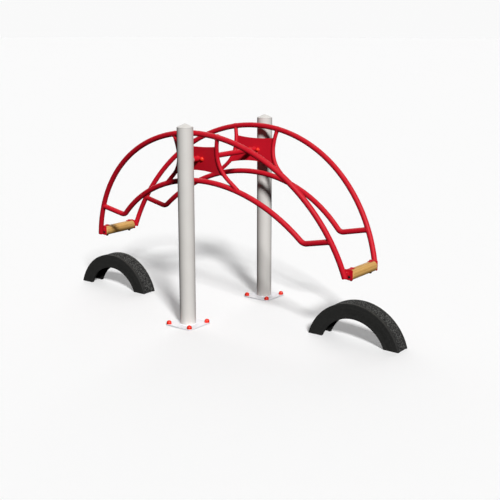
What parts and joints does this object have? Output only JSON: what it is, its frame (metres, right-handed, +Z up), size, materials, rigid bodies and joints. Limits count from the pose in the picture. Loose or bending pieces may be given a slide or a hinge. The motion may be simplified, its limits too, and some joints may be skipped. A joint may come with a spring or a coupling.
{
  "type": "playground seesaw",
  "caption": "Standing seesaw: a double arched tube beam with log seats turning on an axle between two round posts, over half-buried tyres.",
  "frame": {"origin": "on the ground, midway between the two posts, below the middle of the axle", "axes": "+X along the beam to one seat, +Y along the axle, +Z up"},
  "size_m": [3.2712, 1.25, 1.57],
  "materials": {
    "red_frame": "glossy red powder coat on steel tube",
    "red_cap": "glossy bright red plastic",
    "post_grey": "satin light grey powder coat",
    "plate_grey": "satin pale grey coat",
    "steel": "zinc plated",
    "black_steel": "black coated fastener",
    "wood": "oiled round timber",
    "tyre": "worn matt rubber",
    "nylon": "dark nylon"
  },
  "bodies": {
    "stand": {"front_base_plate": "plate_grey", "front_post": "post_grey", "front_post_cap": "post_grey", "front_axle_bearing": "nylon", "front_axle_seal": "post_grey", "front_anchor_bolt_1": "steel", "front_bolt_cap_1": "red_cap", "front_anchor_bolt_2": "steel", "front_bolt_cap_2": "red_cap", "front_anchor_bolt_3": "steel", "front_bolt_cap_3": "red_cap", "front_anchor_bolt_4": "steel", "front_bolt_cap_4": "red_cap", "rear_base_plate": "plate_grey", "rear_post": "post_grey", "rear_post_cap": "post_grey", "rear_axle_bearing": "nylon", "rear_axle_seal": "post_grey", "rear_anchor_bolt_1": "steel", "rear_bolt_cap_1": "red_cap", "rear_anchor_bolt_2": "steel", "rear_bolt_cap_2": "red_cap", "rear_anchor_bolt_3": "steel", "rear_bolt_cap_3": "red_cap", "rear_anchor_bolt_4": "steel", "rear_bolt_cap_4": "red_cap", "left_tyre": "tyre", "right_tyre": "tyre"},
    "beam": {"front_upper_arch": "red_frame", "front_lower_arch": "red_frame", "front_hub_plate": "red_frame", "front_strut_left": "red_frame", "front_strut_right": "red_frame", "front_hub_bolt_left": "red_cap", "front_seat_bracket_left": "red_frame", "front_seat_bolt_left": "black_steel", "front_end_screw_left": "black_steel", "front_hub_bolt_right": "red_cap", "front_seat_bracket_right": "red_frame", "front_seat_bolt_right": "black_steel", "front_end_screw_right": "black_steel", "rear_upper_arch": "red_frame", "rear_lower_arch": "red_frame", "rear_hub_plate": "red_frame", "rear_strut_left": "red_frame", "rear_strut_right": "red_frame", "rear_hub_bolt_left": "red_cap", "rear_seat_bracket_left": "red_frame", "rear_seat_bolt_left": "black_steel", "rear_end_screw_left": "black_steel", "rear_hub_bolt_right": "red_cap", "rear_seat_bracket_right": "red_frame", "rear_seat_bolt_right": "black_steel", "rear_end_screw_right": "black_steel", "axle_tube": "red_frame", "left_seat_log": "wood", "right_seat_log": "wood"}
  },
  "joints": [
    {"name": "beam_pivot", "type": "hinge", "parent": "stand", "child": "beam", "pos_m": [0, 0, 1.29], "axis": [0, 1, 0], "range_deg": [-10.5, 10.5]}
  ]
}
